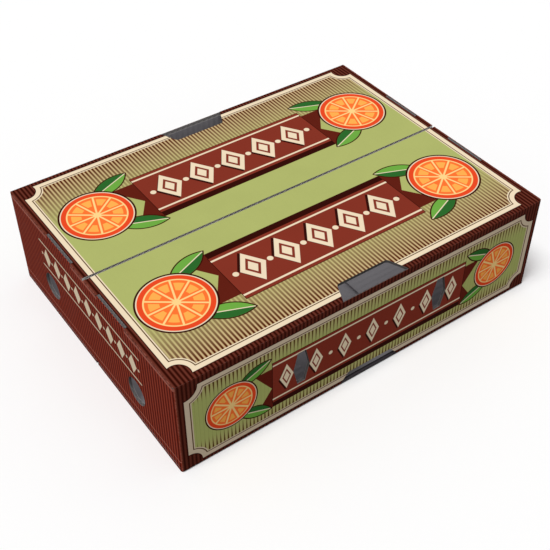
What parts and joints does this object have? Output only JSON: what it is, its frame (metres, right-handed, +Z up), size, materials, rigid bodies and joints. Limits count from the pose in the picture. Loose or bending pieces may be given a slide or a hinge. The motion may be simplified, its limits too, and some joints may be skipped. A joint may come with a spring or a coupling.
{
  "type": "corrugated fruit box",
  "caption": "Shallow printed corrugated fruit box, folded from one sheet, with long top flaps that meet in the middle and open outwards, and vents in every wall.",
  "frame": {"origin": "under the middle of the box, on the surface it stands on", "axes": "+X along the length, +Z up, the front long wall towards -Y"},
  "size_m": [0.4, 0.3, 0.106],
  "materials": {
    "printed_wall": "printed, satin",
    "printed_flap": "printed, satin"
  },
  "bodies": {
    "box": {"box_body": "printed_wall"},
    "front_flap": {"front_top_flap": "printed_flap"},
    "rear_flap": {"rear_top_flap": "printed_flap"}
  },
  "joints": [
    {"name": "front_flap_fold", "type": "hinge", "parent": "box", "child": "front_flap", "pos_m": [0, -0.15, 0.106], "axis": [1, 0, 0], "range_deg": [0, 220]},
    {"name": "rear_flap_fold", "type": "hinge", "parent": "box", "child": "rear_flap", "pos_m": [0, 0.15, 0.106], "axis": [-1, 0, 0], "range_deg": [0, 220]}
  ]
}
